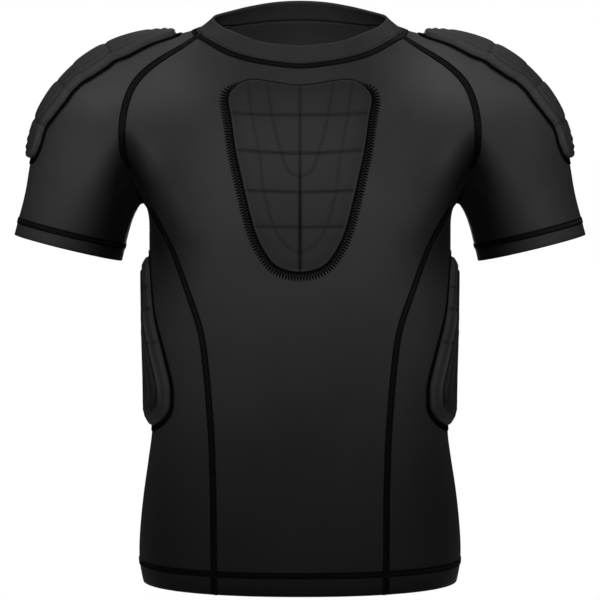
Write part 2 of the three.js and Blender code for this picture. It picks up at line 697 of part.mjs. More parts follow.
// The same number of columns in each line, even where two of them come close.
function quiltColumns(positions) {
  const columns = [];
  positions.slice(1).forEach((to, n) => {
    const from = positions[n];
    const step = Math.min(3, (to - from) * 0.35);
    columns.push({ at: from, line: n }, { at: from + step, line: -1 });
    columns.push({ at: (from + to) / 2, line: -1 }, { at: to - step, line: -1 });
  });
  return [...columns, { at: positions[positions.length - 1], line: positions.length - 1 }];
}
add("chest_pad", chestPadGeometry(), padding);

// The thickness of a pad with grooves on some of its main lines, falling away towards its edge.
const rim = [0, 0.72, 0.94, 1];
function lobedThickness(grid, pad, lines, places) {
  const [rows, columns] = [grid.length, grid[0].length];
  return grid.map((row, i) =>
    row.map((_, j) => {
      const fromEdge = Math.min(i, rows - 1 - i, j, columns - 1 - j, rim.length - 1);
      const grooved = places[i].line >= 0 && lines[places[i].line].groove;
      return pad.edge + ((grooved ? pad.groove : pad.thickness) - pad.edge) * rim[fromEdge];
    }),
  );
}
const across = [-1, -0.91, -0.7, -0.47, -0.24, 0, 0.24, 0.47, 0.7, 0.91, 1];

// Shoulder pad on the +X side
const shoulderPlaces = quiltPlaces(
  shoulderLines.map((line) => line.along),
  { inset: 0.06, pitch: 0.27, plain: (n) => !shoulderLines[n].groove },
);
const shoulderGrid = shoulderPlaces.map(({ at: along }) => {
  const read = (column) => THREE.MathUtils.degToRad(lookUp(shoulderLines, "along", along, column));
  const arm = armAt(along);
  return across.map((share) =>
    outFrom(arm.middle, armDirection(arm, read("lean") + read("angle") * share)),
  );
});
// Rib pad on the +X side
const ribPlaces = quiltPlaces(
  ribLines.map((line) => line.z),
  { inset: 3, pitch: 16, plain: (n) => !ribLines[n].groove },
);
const ribGrid = ribPlaces.map(({ at: z }) => {
  const reach = (column, side) => {
    const p = outFrom(V(0, side * lookUp(ribLines, "z", z, column), z), V(1, 0, 0));
    return Math.atan2(p.y, p.x);
  };
  const [front, back] = [reach("front", -1), reach("back", 1)];
  return across.map((share) => {
    const turn = (front + back) / 2 + ((back - front) / 2) * share;
    return outFrom(V(0, 0, z), V(Math.cos(turn), Math.sin(turn), 0));
  });
});
const shoulderThickness = lobedThickness(shoulderGrid, shoulderPad, shoulderLines, shoulderPlaces);
const ribThickness = lobedThickness(ribGrid, ribPad, ribLines, ribPlaces);
const shoulderLayers = padLayers(shoulderGrid, shoulderThickness, sleeves.left);
const ribLayers = padLayers(ribGrid, ribThickness, sidePanels.left);
for (const [side, flip] of Object.entries(sides)) {
  add(`shoulder_pad_${side}`, wallGeometry(...shoulderLayers.map(flip)), padding);
  add(`rib_pad_${side}`, wallGeometry(...ribLayers.map(flip)), padding);
}

export default group;
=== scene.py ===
import math

import bmesh
import bpy
import numpy as np
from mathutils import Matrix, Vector
from mathutils.bvhtree import BVHTree
from mathutils.kdtree import KDTree


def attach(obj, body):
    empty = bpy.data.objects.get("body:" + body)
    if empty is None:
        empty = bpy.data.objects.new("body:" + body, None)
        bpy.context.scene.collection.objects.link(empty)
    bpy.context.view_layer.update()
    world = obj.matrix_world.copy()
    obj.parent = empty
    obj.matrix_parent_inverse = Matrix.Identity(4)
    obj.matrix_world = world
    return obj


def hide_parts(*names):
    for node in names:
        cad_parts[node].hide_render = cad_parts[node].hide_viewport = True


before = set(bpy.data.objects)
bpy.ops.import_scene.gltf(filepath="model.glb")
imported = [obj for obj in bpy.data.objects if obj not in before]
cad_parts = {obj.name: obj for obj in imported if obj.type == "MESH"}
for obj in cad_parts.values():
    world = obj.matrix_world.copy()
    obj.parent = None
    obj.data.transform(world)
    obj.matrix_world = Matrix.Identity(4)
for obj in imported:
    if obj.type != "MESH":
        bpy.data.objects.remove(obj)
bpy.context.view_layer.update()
mm = 0.001

# Camera
view = {"stand": (0, -2.32, -0.14), "target": (0, 0, -0.267), "lens": 139.4}
cameraData = bpy.data.cameras.new("camera")
cameraData.lens = view["lens"]
camera = bpy.data.objects.new("camera", cameraData)
bpy.context.scene.collection.objects.link(camera)
camera.location = view["stand"]
lookingAlong = Vector(view["target"]) - Vector(view["stand"])
camera.rotation_euler = lookingAlong.to_track_quat("-Z", "Y").to_euler()
bpy.context.scene.camera = camera
print("camera is set")


# Shader maths on wrapped sockets
class Wire:
    def __init__(self, tree, socket=None):
        self.tree = tree
        self.socket = socket

    def node(self, kind, settings, inputs, output=0):
        made = self.tree.nodes.new("ShaderNode" + kind)
        for key, value in settings.items():
            setattr(made, key, value)
        for key, value in inputs.items():
            if isinstance(value, Wire):
                self.tree.links.new(value.socket, made.inputs[key])
            else:
                made.inputs[key].default_value = value
        return Wire(self.tree, made.outputs[output])

    def maths(self, operation, first, second=0.0):
        return self.node("Math", {"operation": operation}, {0: first, 1: second})

    def __add__(self, other):
        return self.maths("ADD", self, other)

    def __radd__(self, other):
        return self.maths("ADD", other, self)

    def __sub__(self, other):
        return self.maths("SUBTRACT", self, other)

    def __rsub__(self, other):
        return self.maths("SUBTRACT", other, self)

    def __mul__(self, other):
        return self.maths("MULTIPLY", self, other)

    def __truediv__(self, other):
        return self.maths("DIVIDE", self, other)

    def __pow__(self, other):
        return self.maths("POWER", self, other)

    def wave(self):  # a sine that goes round once from one whole number to the next
        return self.maths("SINE", self * (2 * math.pi))

    def fraction(self):
        return self.maths("FRACT", self)

    def size(self):
        return self.maths("ABSOLUTE", self)

    def atLeast(self, other):
        return self.maths("MAXIMUM", self, other)

    def atMost(self, other):
        return self.maths("MINIMUM", self, other)

    def below(self, other):
        return self.maths("LESS_THAN", self, other)

    def blend(self, low, high):  # from one colour to another as this goes from 0 to 1
        settings = {"data_type": "RGBA", "clamp_factor": True}
        return self.node("Mix", settings, {0: self, 6: low, 7: high}, output=2)


def newMaterial(name, constants):
    material = bpy.data.materials.new(name)
    material.use_nodes = True
    shader = material.node_tree.nodes["Principled BSDF"]
    for key, value in constants.items():
        shader.inputs[key].default_value = value
    return material, Wire(material.node_tree), shader


def feed(start, shader, colour, roughness, height, distance):
    bump = start.node("Bump", {}, {"Height": height, "Distance": distance, "Strength": 1.0})
    for key, value in {"Base Color": colour, "Roughness": roughness, "Normal": bump}.items():
        start.tree.links.new(value.socket, shader.inputs[key])


def grey(level, warmth=0.0):
    return (level * (1 + warmth), level, level * (1 - warmth), 1)


# The map "weave" is in millimetres. On knitted cloth it goes across the wales and along them, and on tape and
# thread along the seam and across it.
def weaveOf(start):
    mapped = start.node("UVMap", {"uv_map": "weave"}, {})
    return [start.node("SeparateXYZ", {}, {0: mapped}, output=k) for k in range(2)]


def knitHeight(start, look):
    across, along = weaveOf(start)
    offWale = ((across / look["wale"]).fraction() - 0.5).size() * 2
    loops = (along / look["course"] + offWale * look["slant"]).wave()
    ofWales, ofLoops = look["ribShares"]
    return (1 - offWale * offWale) * ofWales + (loops + 1) * ofLoops


def noise(start, scale, detail):
    place = start.node("TexCoord", {}, {}, output=3)
    return start.node("TexNoise", {}, {"Vector": place, "Scale": scale, "Detail": detail})


def ranged(start, value, span, results=(0.0, 1.0), interpolation="SMOOTHSTEP"):
    settings = {"clamp": True, "interpolation_type": interpolation}
    (low, high), (atLow, atHigh) = span, results
    inputs = {"Value": value, "From Min": low, "From Max": high, "To Min": atLow, "To Max": atHigh}
    return start.node("MapRange", settings, inputs)


# The cloth's painted shade and painted light by place, in metres, as the photograph shows it: dark low down
# and at the hem, and on the yoke a little darker by the neck and lighter on the shoulders. Each span of
# places has a span of brightness.
shade = {
    "height": (-0.53, -0.1),
    "heightLight": (0.17, 1.0),
    "hem": (-0.549, -0.52),
    "hemLight": (0.3, 1.0),
    "yoke": (-0.1, -0.055),
    "outward": (0.05, 0.14),
    "outwardLight": (0.75, 1.6),
}
# The painted shade of an armpit is a wedge that widens downwards. On the body it closes again under its end.
armpitShade = {
    "out": 0.169,
    "top": -0.113,
    "end": -0.2,
    "narrowest": 0.005,
    "atTop": 0.013,
    "widens": 0.39,
    "widest": 0.049,
    "behind": 0.2,
    "reach": (0.35, 1.85),
}


def shadeOf(start, armpitLight=0.0):
    place = start.node("TexCoord", {}, {}, output=3)
    x, y, z = [start.node("SeparateXYZ", {}, {0: place}, output=k) for k in range(3)]
    outward = ranged(start, x.size(), shade["outward"], shade["outwardLight"])
    # Painted shade low down and at the hem, then painted shade by the neck and painted light on the shoulders
    shadeByPlace = ranged(start, z, shade["height"], shade["heightLight"])
    shadeByPlace = shadeByPlace * ranged(start, z, shade["hem"], shade["hemLight"])
    shadeByPlace = shadeByPlace * (1 + ranged(start, z, shade["yoke"]) * (outward - 1))
    # The armpit's painted shade, which goes down to armpitLight at its darkest
    half = (armpitShade["top"] - z) * armpitShade["widens"] + armpitShade["atTop"]
    half = half.atLeast(armpitShade["narrowest"]).atMost(armpitShade["widest"])
    across = x.size() - armpitShade["out"]
    behind = y * armpitShade["behind"]
    under = (armpitShade["end"] - z).atLeast(0.0) * across.below(0.0)
    away = (across * across + behind * behind + under * under) ** 0.5 / half
    return shadeByPlace * ranged(start, away, armpitShade["reach"], (armpitLight, 1.0))


# The attribute "tone" holds the pads' painted light and shade: it makes a place lighter, over 0, or darker,
# under 0.
def toneOf(start):
    plain, withTone = 0.6, 0.6
    return start.node("Attribute", {"attribute_name": "tone"}, {}, output=2) * withTone + plain


jerseyLook = {
    # the colour under full painted shade
    "black": grey(0.0004),
    "dark": grey(0.0205, 0.005),
    "light": grey(0.0385),
    "wale": 0.85,
    "course": 0.65,
    "slant": 0.55,
    "ribShares": (0.6, 0.2),  # of wales and loops in the height
    "patches": {"scale": 9, "detail": 4},
    "patchSpan": (0.35, 0.65),
    "grain": {"scale": 420, "detail": 2},
    "shares": (0.45, 0.25, 0.3),  # of patches, knit and grain in the colour
    "rough": (0.58, 0.08, 0.1),  # plain, and more with patches and between the loops
    "grainHeight": 0.35,
    "bump": 0.16 * mm,
    # brightness left at the middle of the painted armpit shade
    "armpitLight": 0.0,
    "gloss": {"Specular IOR Level": 0.03, "Sheen Weight": 0.008, "Sheen Roughness": 0.4},
}
padLook = {
    **jerseyLook,
    "dark": grey(0.0158, 0.01),
    "light": grey(0.029, 0.005),
    "wale": 0.8,
    # the pads keep more light under the painted armpit shade
    "armpitLight": 0.75,
    "gloss": {"Specular IOR Level": 0.05, "Sheen Weight": 0.01, "Sheen Roughness": 0.35},
}


def makeJersey(name, look):
    material, start, shader = newMaterial(name, look["gloss"])
    knit = knitHeight(start, look)
    patches = ranged(start, noise(start, **look["patches"]), look["patchSpan"], interpolation="LINEAR")
    grain = noise(start, **look["grain"])
    ofPatches, ofKnit, ofGrain = look["shares"]
    # Patches and grain are the cloth's own mottling; the knit's share darkens it between the loops, painted
    # shade
    tone = patches * ofPatches + knit * ofKnit + grain * ofGrain
    # Painted shade by place darkens the colour towards black, and the attribute tone adds the pads' painted
    # light and shade
    shaded = shadeOf(start, look["armpitLight"]) * toneOf(start)
    colour = shaded.blend(look["black"], tone.blend(look["dark"], look["light"]))
    plain, withPatches, betweenLoops = look["rough"]
    roughness = plain + patches * withPatches + (1 - knit) * betweenLoops
    feed(start, shader, colour, roughness, knit + grain * look["grainHeight"], look["bump"])
    return material


tapeLook = {
    "black": grey(0.0003),
    "dark": grey(0.0006),
    "light": grey(0.0045),
    "ridges": 1.55,  # mm between the needle lines
    "cross": 1.1,  # mm between the cross threads
    "slant": 0.3,
    "fuzz": {"scale": 700, "detail": 2},
    "shares": (0.5, 0.3, 0.3),  # of ridges, cross threads and fuzz in the height
    "rough": (0.55, 0.2),  # plain, and more with the fuzz
    "bump": 0.3 * mm,
    "gloss": {"Specular IOR Level": 0.01, "Sheen Weight": 0.0, "Sheen Roughness": 0.4},
}


def makeTape(name, look):
    material, start, shader = newMaterial(name, look["gloss"])
    along, across = weaveOf(start)
    ridges = (across / look["ridges"]).wave() * 0.5 + 0.5
    cross = (along / look["cross"] + ridges * look["slant"]).wave() * 0.5 + 0.5
    fuzz = noise(start, **look["fuzz"])
    ofRidges, ofCross, ofFuzz = look["shares"]
    height = ridges * ofRidges + cross * ofCross + fuzz * ofFuzz
    # The colour follows the height: painted shade in the hollows between needle lines and cross threads, with
    # the fuzz as the tape's own mottling. The painted shade by place darkens it twice over.
    shaded = shadeOf(start)
    colour = (shaded * shaded).blend(look["black"], height.blend(look["dark"], look["light"]))
    plain, withFuzz = look["rough"]
    feed(start, shader, colour, plain + fuzz * withFuzz, height, look["bump"])
    return material


threadLook = {
    "black": grey(0.0003),
    "dark": grey(0.006),
    "light": grey(0.024),
    "twist": 0.7,  # mm from one turn of the yarn to the next
    "fuzz": {"scale": 300, "detail": 2},
    "shares": (0.7, 0.3),  # of twist and fuzz in the colour
    "rough": (0.4, 0.2),  # plain, and more on the turns
    "bump": 0.08 * mm,
    "gloss": {"Specular IOR Level": 0.04, "Sheen Weight": 0.0, "Sheen Roughness": 0.3},
}
darkThreadLook = {
    **threadLook,
    "dark": grey(0.0003),
    "light": grey(0.0014),
    "gloss": {"Specular IOR Level": 0.02, "Sheen Weight": 0.0, "Sheen Roughness": 0.3},
}


def makeThread(name, look):
    material, start, shader = newMaterial(name, look["gloss"])
    along, across = weaveOf(start)
    twist = (along / look["twist"] + across).wave() * 0.5 + 0.5
    ofTwist, ofFuzz = look["shares"]
    # Darker between the turns of the yarn, painted shade, with the fuzz as the thread's own mottling; the
    # painted shade by place darkens it towards black
    mixed = (twist * ofTwist + noise(start, **look["fuzz"]) * ofFuzz).blend(look["dark"], look["light"])
    colour = shadeOf(start).blend(look["black"], mixed)
    plain, onTurns = look["rough"]
    feed(start, shader, colour, plain + twist * onTurns, twist, look["bump"])
    return material


jersey = makeJersey("jersey", jerseyLook)
padCover = makeJersey("padCover", padLook)
tape = makeTape("seamTape", tapeLook)
thread = makeThread("thread", threadLook)
darkThread = makeThread("darkThread", darkThreadLook)
print("materials are made")

# Cloth panels and pads: smooth copies of the CAD nodes
smoothing = {"sharp": math.radians(50), "levels": 2, "wall": 2.75 * mm, "weld": 0.02 * mm}


# The wall's edge faces get material 1 and its two sides material 0, so that the sides can be told apart.
def quadCopy(nodeName):
    bm = bmesh.new()
    bm.from_mesh(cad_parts[nodeName].data)
    bmesh.ops.remove_doubles(bm, verts=bm.verts, dist=smoothing["weld"])
    for face in bm.faces:
        face.material_index = int(min(edge.calc_length() for edge in face.edges) < smoothing["wall"])
    for influence in (1.0, 0.0):
        bmesh.ops.join_triangles(
            bm,
            faces=bm.faces,
            cmp_materials=True,
            angle_face_threshold=math.radians(90),
            angle_shape_threshold=math.radians(180),
            topology_influence=influence,
        )
    bmesh.ops.recalc_face_normals(bm, faces=bm.faces)
    crease = bm.edges.layers.float.new("crease_edge")
    for edge in bm.edges:
        kinds = [face.material_index for face in edge.link_faces]
        turned = kinds == [1, 1] and edge.calc_face_angle(0) > smoothing["sharp"]
        edge[crease] = float(sum(kinds) == 1 or turned)
    mesh = bpy.data.meshes.new(nodeName + "_smooth")
    mesh.materials.append(jersey)
    mesh.materials.append(jersey)
    bm.to_mesh(mesh)
    bm.free()
    return mesh


def subdivided(mesh):
    holder = bpy.data.objects.new("holder", mesh)
    bpy.context.scene.collection.objects.link(holder)
    modifier = holder.modifiers.new("smooth", "SUBSURF")
    modifier.levels = modifier.render_levels = smoothing["levels"]
    made = bpy.data.meshes.new_from_object(holder.evaluated_get(bpy.context.evaluated_depsgraph_get()))
    bpy.data.objects.remove(holder)
    return made


def positions(mesh):
    co = np.empty(len(mesh.vertices) * 3)
    mesh.vertices.foreach_get("co", co)
    return co.reshape(-1, 3)


def place(mesh, co):
    mesh.vertices.foreach_set("co", co.ravel())
    mesh.update()


# The smooth surface is made to pass through the CAD points, so that the garment keeps its size.
def smoothMesh(nodeName):
    cage = quadCopy(nodeName)
    wanted = positions(cage)
    first = subdivided(cage)
    place(cage, wanted * 2 - positions(first)[: len(wanted)])
    made = subdivided(cage)
    bpy.data.meshes.remove(first)
    bpy.data.meshes.remove(cage)
    return made


# Soft creases, in mm: middle, direction, half length, half width, depth. A ridge is under 0.
creases = [
    ((-8, -96, -455), (0.05, 0, 1), 70, 9, 1.6),
    ((-34, -92, -440), (-0.06, 0, 1), 62, 10, -1.1),
    ((27, -93, -470), (0.1, 0, 1), 52, 8, 1.3),
    ((48, -88, -425), (0.12, 0, 1), 66, 11, -1.0),
    ((-62, -86, -470), (-0.14, 0, 1), 50, 9, 1.2),
    ((70, -82, -480), (0.1, 0, 1), 42, 8, 1.1),
    ((-128, -62, -188), (0.72, -0.3, -0.7), 30, 6, 1.7),
    ((126, -63, -191), (-0.68, -0.3, -0.75), 33, 6.5, 1.6),
    ((-134, -55, -206), (0.5, -0.2, -0.9), 26, 6, 1.2),
    ((133, -56, -210), (-0.45, -0.2, -0.9), 24, 6, 1.1),
    ((-118, -72, -160), (0.8, -0.5, -0.35), 26, 6, 1.1),
    ((119, -71, -163), (-0.82, -0.5, -0.3), 23, 6, 1.2),
    ((-178, -40, -150), (-0.5, 0.1, -0.85), 27, 6, 1.6),
    ((179, -40, -148), (0.55, 0.1, -0.85), 30, 6, 1.5),
    ((-196, -38, -128), (-0.55, 0.0, -0.8), 34, 8, 1.1),
    ((199, -38, -131), (0.6, 0.0, -0.8), 31, 8, 1.0),
    ((-222, -40, -170), (0.75, 0, -0.6), 26, 7, 0.9),
    ((224, -40, -166), (-0.7, 0, -0.6), 23, 7, 1.0),
    ((-142, 0, -420), (0.1, 0.3, 1), 60, 10, 1.3),
    ((143, -4, -430), (-0.1, -0.25, 1), 52, 11, 1.2),
    ((-30, 78, -380), (0.1, 0, 1), 70, 12, 1.5),
    ((6, 80, -410), (-0.05, 0, 1), 80, 11, -1.2),
    ((38, 78, -370), (-0.12, 0, 1), 62, 12, 1.4),
    ((-70, 74, -400), (0.4, 0, 1), 44, 10, 1.0),
    ((74, 74, -395), (-0.35, 0, 1), 48, 10, 1.1),
    ((-122, 72, -188), (0.7, 0.4, -0.6), 32, 7, 1.5),
    ((124, 72, -184), (-0.72, 0.4, -0.58), 30, 7, 1.6),
    ((-96, 96, -140), (0.85, 0.3, -0.4), 34, 9, 1.0),
    ((98, 96, -146), (-0.85, 0.3, -0.35), 31, 9, 1.1),
    ((-186, 46, -150), (-0.5, 0, -0.85), 27, 7, 1.3),
    ((184, 46, -153), (0.5, 0, -0.85), 30, 7, 1.2),
]


# A crease's line and width wander a little, its ends fade, and all depths are raised by one gain.
creaseForm = {"gain": 1.5, "wander": 0.09, "waves": 2.1, "drift": 0.25, "ends": 1.5}


def creaseDepth(co):
    depth = np.zeros(len(co))
    for middle, direction, halfLength, halfWidth, deep in creases:
        along = np.array(direction) / np.linalg.norm(direction)
        offset = co / mm - np.array(middle)
        length = offset @ along
        wave = np.sin(length / halfLength * creaseForm["waves"] + middle[2])
        wander = creaseForm["wander"] * halfLength * wave
        aside = np.linalg.norm(offset - np.outer(length, along), axis=1) + wander * creaseForm["drift"]
        inReach = np.clip(1 - (length / halfLength) ** 2, 0, 1) ** creaseForm["ends"]
        depth += deep * inReach * np.exp(-((aside / halfWidth) ** 2))
    return depth * mm * creaseForm["gain"]


def addPiece(name, mesh, material):
    piece = bpy.data.objects.new(name, mesh)
    bpy.context.scene.collection.objects.link(piece)
    mesh.materials[0] = mesh.materials[1] = material
    mesh.polygons.foreach_set("use_smooth", [True] * len(mesh.polygons))
    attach(piece, "root")
    return piece


# The middle line of the left arm, in mm, from inside the neck to past the cuff
armLine = [(40, -48), (92, -50), (140, -62), (178, -92), (205, -130), (226, -168), (246, -206), (262, -240)]
arm = {"radius": 52, "begins": 140, "blends": 25, "above": -0.3}
veryFar = 1e9


# For each piece of a line: its number, its step, the share of it to the nearest place, and the way from there
def besideLine(flat, line):
    for n, (begin, end) in enumerate(zip(line, line[1:])):
        step = end - begin
        share = np.clip(((flat - begin) @ step) / (step @ step), 0, 1)
        yield n, step, share, flat - begin - share[:, None] * step


def lengthsAlong(points):
    return np.concatenate([[0], np.cumsum(np.linalg.norm(np.diff(points, axis=0), axis=1))])


def armPlaces(co):
    points = np.array(armLine, float) * mm
    lengths = lengthsAlong(points)
    flat = np.stack([np.abs(co[:, 0]), co[:, 2]], axis=1)
    best, along, above = np.full(len(co), veryFar), np.zeros(len(co)), np.zeros(len(co))
    for n, step, share, away in besideLine(flat, points):
        distance = np.linalg.norm(away, axis=1)
        closer = distance < best
        side = np.array([-step[1], step[0]]) / np.linalg.norm(step)
        best = np.where(closer, distance, best)
        along = np.where(closer, lengths[n] + share * (lengths[n + 1] - lengths[n]), along)
        above = np.where(closer, away @ side, above)
    return along, np.arctan2(co[:, 1], above)


# Creases push the cloth to and from the middle of the body or the arm.
def creaseDirection(co):
    outwards = (np.abs(co[:, 0]) / mm - arm["begins"]) / arm["blends"]
    onArm = np.clip(outwards, 0, 1) * (co[:, 2] > arm["above"])
    fromBody = co * np.array([1, 1, 0])
    fromArm = co * np.array([0, 1, 0])
    direction = fromBody * (1 - onArm[:, None]) + fromArm * onArm[:, None]
    return direction / np.maximum(np.linalg.norm(direction, axis=1), 1e-6)[:, None]


# The map "weave" in mm: across the wales, then along them.
def mapWeave(mesh, kind):
    co = positions(mesh)
    if kind == "sleeve":
        along, turn = armPlaces(co)
        uv = np.stack([turn * arm["radius"], along / mm], axis=1)
    elif kind == "side":
        uv = co[:, [1, 2]] / mm
    else:
        uv = co[:, [0, 2]] / mm
    corners = np.empty(len(mesh.loops), int)
    mesh.loops.foreach_get("vertex_index", corners)
    layer = mesh.uv_layers.new(name="weave")
    layer.data.foreach_set("uv", uv[corners].ravel())


# How each panel's map lies, and the cut of what shows of it: width and length, and area, in metres
sidePanel = {"kind": "side", "flat": (0.21, 0.4), "area": 0.0775}
sleevePanel = {"kind": "sleeve", "flat": (0.39, 0.27), "area": 0.0648}
panels = {
    "front": {"kind": "front", "flat": (0.37, 0.56), "area": 0.133},
    "back": {"kind": "front", "flat": (0.37, 0.58), "area": 0.137},
    "side_left": sidePanel,
    "side_right": sidePanel,
    "sleeve_left": sleevePanel,
    "sleeve_right": sleevePanel,
    "neckband": {"kind": "front", "flat": (0.44, 0.03), "area": 0.012},
}
cloth = {}
for name, panel in panels.items():
    mesh = smoothMesh(name)
    if name != "neckband":
        co = positions(mesh)
        place(mesh, co - creaseDirection(co) * creaseDepth(co)[:, None])
    mapWeave(mesh, panel["kind"])
    cloth[name] = addPiece("cloth_" + name, mesh, jersey)
    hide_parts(name)
print("cloth panels are made:", sum(len(p.data.polygons) for p in cloth.values()), "faces")


# The two sides of a wall, the larger first
def shellSides(bm):
    bm.faces.ensure_lookup_table()
    seen = set()
    sides = []
    for start in bm.faces:
        if start.index in seen or start.material_index == 1:
            continue
        seen.add(start.index)
        found, waiting = [start], [start]
        while waiting:
            face = waiting.pop()
            for edge in face.edges:
                for other in edge.link_faces:
                    if other.index not in seen and other.material_index == 0:
                        seen.add(other.index)
                        found.append(other)
                        waiting.append(other)
        sides.append(found)
    return sorted(sides, key=lambda faces: -sum(face.calc_area() for face in faces))


# Closed lines of points round a side
def borderLoops(faces):
    inside = set(faces)
    links = {}
    for face in faces:
        for loop in face.loops:
            others = [other for other in loop.edge.link_faces if other is not face]
            if not others or others[0] not in inside:
                links[loop.vert] = loop.link_loop_next.vert
    loops = []
    while links:
        vert, following = links.popitem()
        line = [vert]
        while following in links:
            line.append(following)
            following = links.pop(following)
        loops.append([v.co.copy() for v in line])
    return sorted(loops, key=len, reverse=True)


def treeOf(faceLists):
    points, polygons = [], []
    for faces in faceLists:
        numbers = {}
        for face in faces:
            for v in face.verts:
                if v not in numbers:
                    numbers[v] = len(points)
                    points.append(v.co.copy())
            polygons.append([numbers[v] for v in face.verts])
    return BVHTree.FromPolygons(points, polygons)


outerBorders = {}
outerFaces = []
held = []
for name, piece in cloth.items():
    bm = bmesh.new()
    bm.from_mesh(piece.data)
    outer = shellSides(bm)[0]
    outerBorders[name] = borderLoops(outer)
    outerFaces.append(outer)
    held.append(bm)
outerTree = treeOf(outerFaces)
for bm in held:
    bm.free()


# Lines on the cloth
sewing = {"spacing": 1.8 * mm, "touch": 1.2 * mm, "weld": 0.004 * mm}


def softened(values, closed, own, others):
    if closed:
        ring = values[:-1]
        ring = ring * own + (np.roll(ring, 1, axis=0) + np.roll(ring, -1, axis=0)) * others
        return np.concatenate([ring, ring[:1]])
    values[1:-1] = values[1:-1] * own + (values[2:] + values[:-2]) * others
    return values


def evenly(points, spacing=sewing["spacing"], closed=False, softening=2):
    line = np.array(points, float)
    if closed:
        line = np.concatenate([line, line[:1]])
    lengths = lengthsAlong(line)
    count = max(2 * round(lengths[-1] / spacing / 2), 2)
    at = np.linspace(0, lengths[-1], count + 1)
    made = np.stack([np.interp(at, lengths, line[:, k]) for k in range(3)], axis=1)
    for _ in range(softening):
        made = softened(made, closed, 0.5, 0.25)
    return made


def onCloth(points, closed=False, softening=3):
    found = [outerTree.find_nearest(Vector(p)) for p in points]
    places = np.array([hit[0] for hit in found])
    normals = np.array([hit[1] for hit in found])
    for _ in range(softening):
        normals = softened(normals, closed, 1, 1)
        normals = normals / np.linalg.norm(normals, axis=1)[:, None]
    return {"points": places, "normals": normals, "closed": closed}


def sideways(line):
    points = line["points"]
    if line["closed"]:
        ring = points[:-1]
        ahead = np.roll(ring, -1, axis=0) - np.roll(ring, 1, axis=0)
        ahead = np.concatenate([ahead, ahead[:1]])
    else:
        ahead = np.gradient(points, axis=0)
    side = np.cross(line["normals"], ahead)
    return side / np.maximum(np.linalg.norm(side, axis=1), 1e-9)[:, None]


def moved(line, across=0.0, lift=0.0):
    shift = sideways(line) * np.asarray(across).reshape(-1, 1) + line["normals"] * lift
    return {**line, "points": line["points"] + shift}


def finderOf(points):
    finder = KDTree(len(points))
    for number, p in enumerate(points):
        finder.insert(p, number)
    finder.balance()
    return finder


# The line half way between two panels, where they nearly touch
def seamLine(first, second):
    finder = finderOf([p for loop in outerBorders[second] for p in loop])
    best = []
    for loop in outerBorders[first]:
        near = [finder.find(p) for p in loop]
        touches = [hit[2] < sewing["touch"] for hit in near]
        if all(touches):
            return onCloth(evenly(loop, closed=True), closed=True)
        begin = touches.index(False)
        run = []
        for k in [*range(begin, len(loop)), *range(begin + 1)]:
            if touches[k]:
                run.append((loop[k] + near[k][0]) / 2)
            else:
                best = max(best, run, key=len)
                run = []
    return onCloth(evenly(best))


# A closed strip along a line: its section is points across and up, in metres, and goes right round.
def sweep(bm, line, section, materialIndex, scale=None):
    points, normals, side = line["points"], line["normals"], line.get("side", sideways(line))
    count, around = len(points), len(section)
    lengths = lengthsAlong(points)
    grid = bmesh.ops.create_grid(bm, x_segments=count - 1, y_segments=around, size=1)
    verts = grid["verts"]
    weave = bm.loops.layers.uv["weave"]
    faces = {face for v in verts for face in v.link_faces}
    for v in verts:
        i = round((v.co.x + 1) / 2 * (count - 1))
        j = round((v.co.y + 1) / 2 * around)
        across, lift = section[j % around]
        wide = across if scale is None else across * scale[i]
        v.co = points[i] + side[i] * wide + normals[i] * lift
        for loop in v.link_loops:
            loop[weave].uv = (lengths[i] / mm, (across if j < around else section[-1][0]) / mm)
    for face in faces:
        face.material_index = materialIndex
        face.smooth = True
    bmesh.ops.remove_doubles(bm, verts=verts, dist=sewing["weld"])
    faces = [face for face in faces if face.is_valid]
    rims = {edge for face in faces for edge in face.edges if edge.is_boundary}
    if rims:
        bmesh.ops.holes_fill(bm, edges=list(rims))
    bmesh.ops.recalc_face_normals(bm, faces=faces)


def roundSection(radius, corners=5):
    turns = [2 * math.pi * k / corners for k in range(corners)]
    return [(radius * math.cos(turn), radius * math.sin(turn)) for turn in turns]


def tapeSection(width, rise):
    half, edge, under = width / 2, rise * 0.7, -0.25 * mm
    flat = half * 0.82
    return [(-half, under), (-half, edge), (-flat, rise), (flat, rise), (half, edge), (half, under)]


def zigzag(line, reach, lift, pitch, scale=None):
    even = evenly(line["points"], pitch / 2, softening=0)
    base = onCloth(even, closed=line["closed"])
    sign = np.where(np.arange(len(even)) % 2 == 0, 1.0, -1.0)
    if scale is not None:
        sign = sign * np.interp(np.linspace(0, 1, len(even)), np.linspace(0, 1, len(scale)), scale)
    return {**moved(base, sign * reach, lift), "side": np.cross(sideways(base), base["normals"])}


# Each line gets a tape, a zigzag of thread over it and a line of thread along each edge.
def stitchedPiece(name, lines, look):
    mesh = bpy.data.meshes.new(name)
    bm = bmesh.new()
    bm.loops.layers.uv.new("weave")
    threads = roundSection(look["thread"])
    for line in lines:
        scale = np.asarray(line.get("scale", np.ones(len(line["points"]))))
        tapeLine = moved(line, look["tapeAt"] * scale)
        sweep(bm, tapeLine, tapeSection(look["tapeWidth"], look["rise"]), 0, scale)
        overTape = look["rise"] + look["thread"] * look["threadUp"]
        swung = zigzag(line, look["reach"], overTape, look["pitch"], scale)
        sweep(bm, swung, threads, look["zigzag"])
        for edge in look["lines"]:
            edgeLine = moved(line, edge * scale, look["rise"] * look["edgeUp"])
            sweep(bm, edgeLine, roundSection(look["edgeThread"]), 2)
    bm.to_mesh(mesh)
    bm.free()
    for material in (tape, thread, darkThread):
        mesh.materials.append(material)
    piece = bpy.data.objects.new(name, mesh)
    bpy.context.scene.collection.objects.link(piece)
    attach(piece, "root")


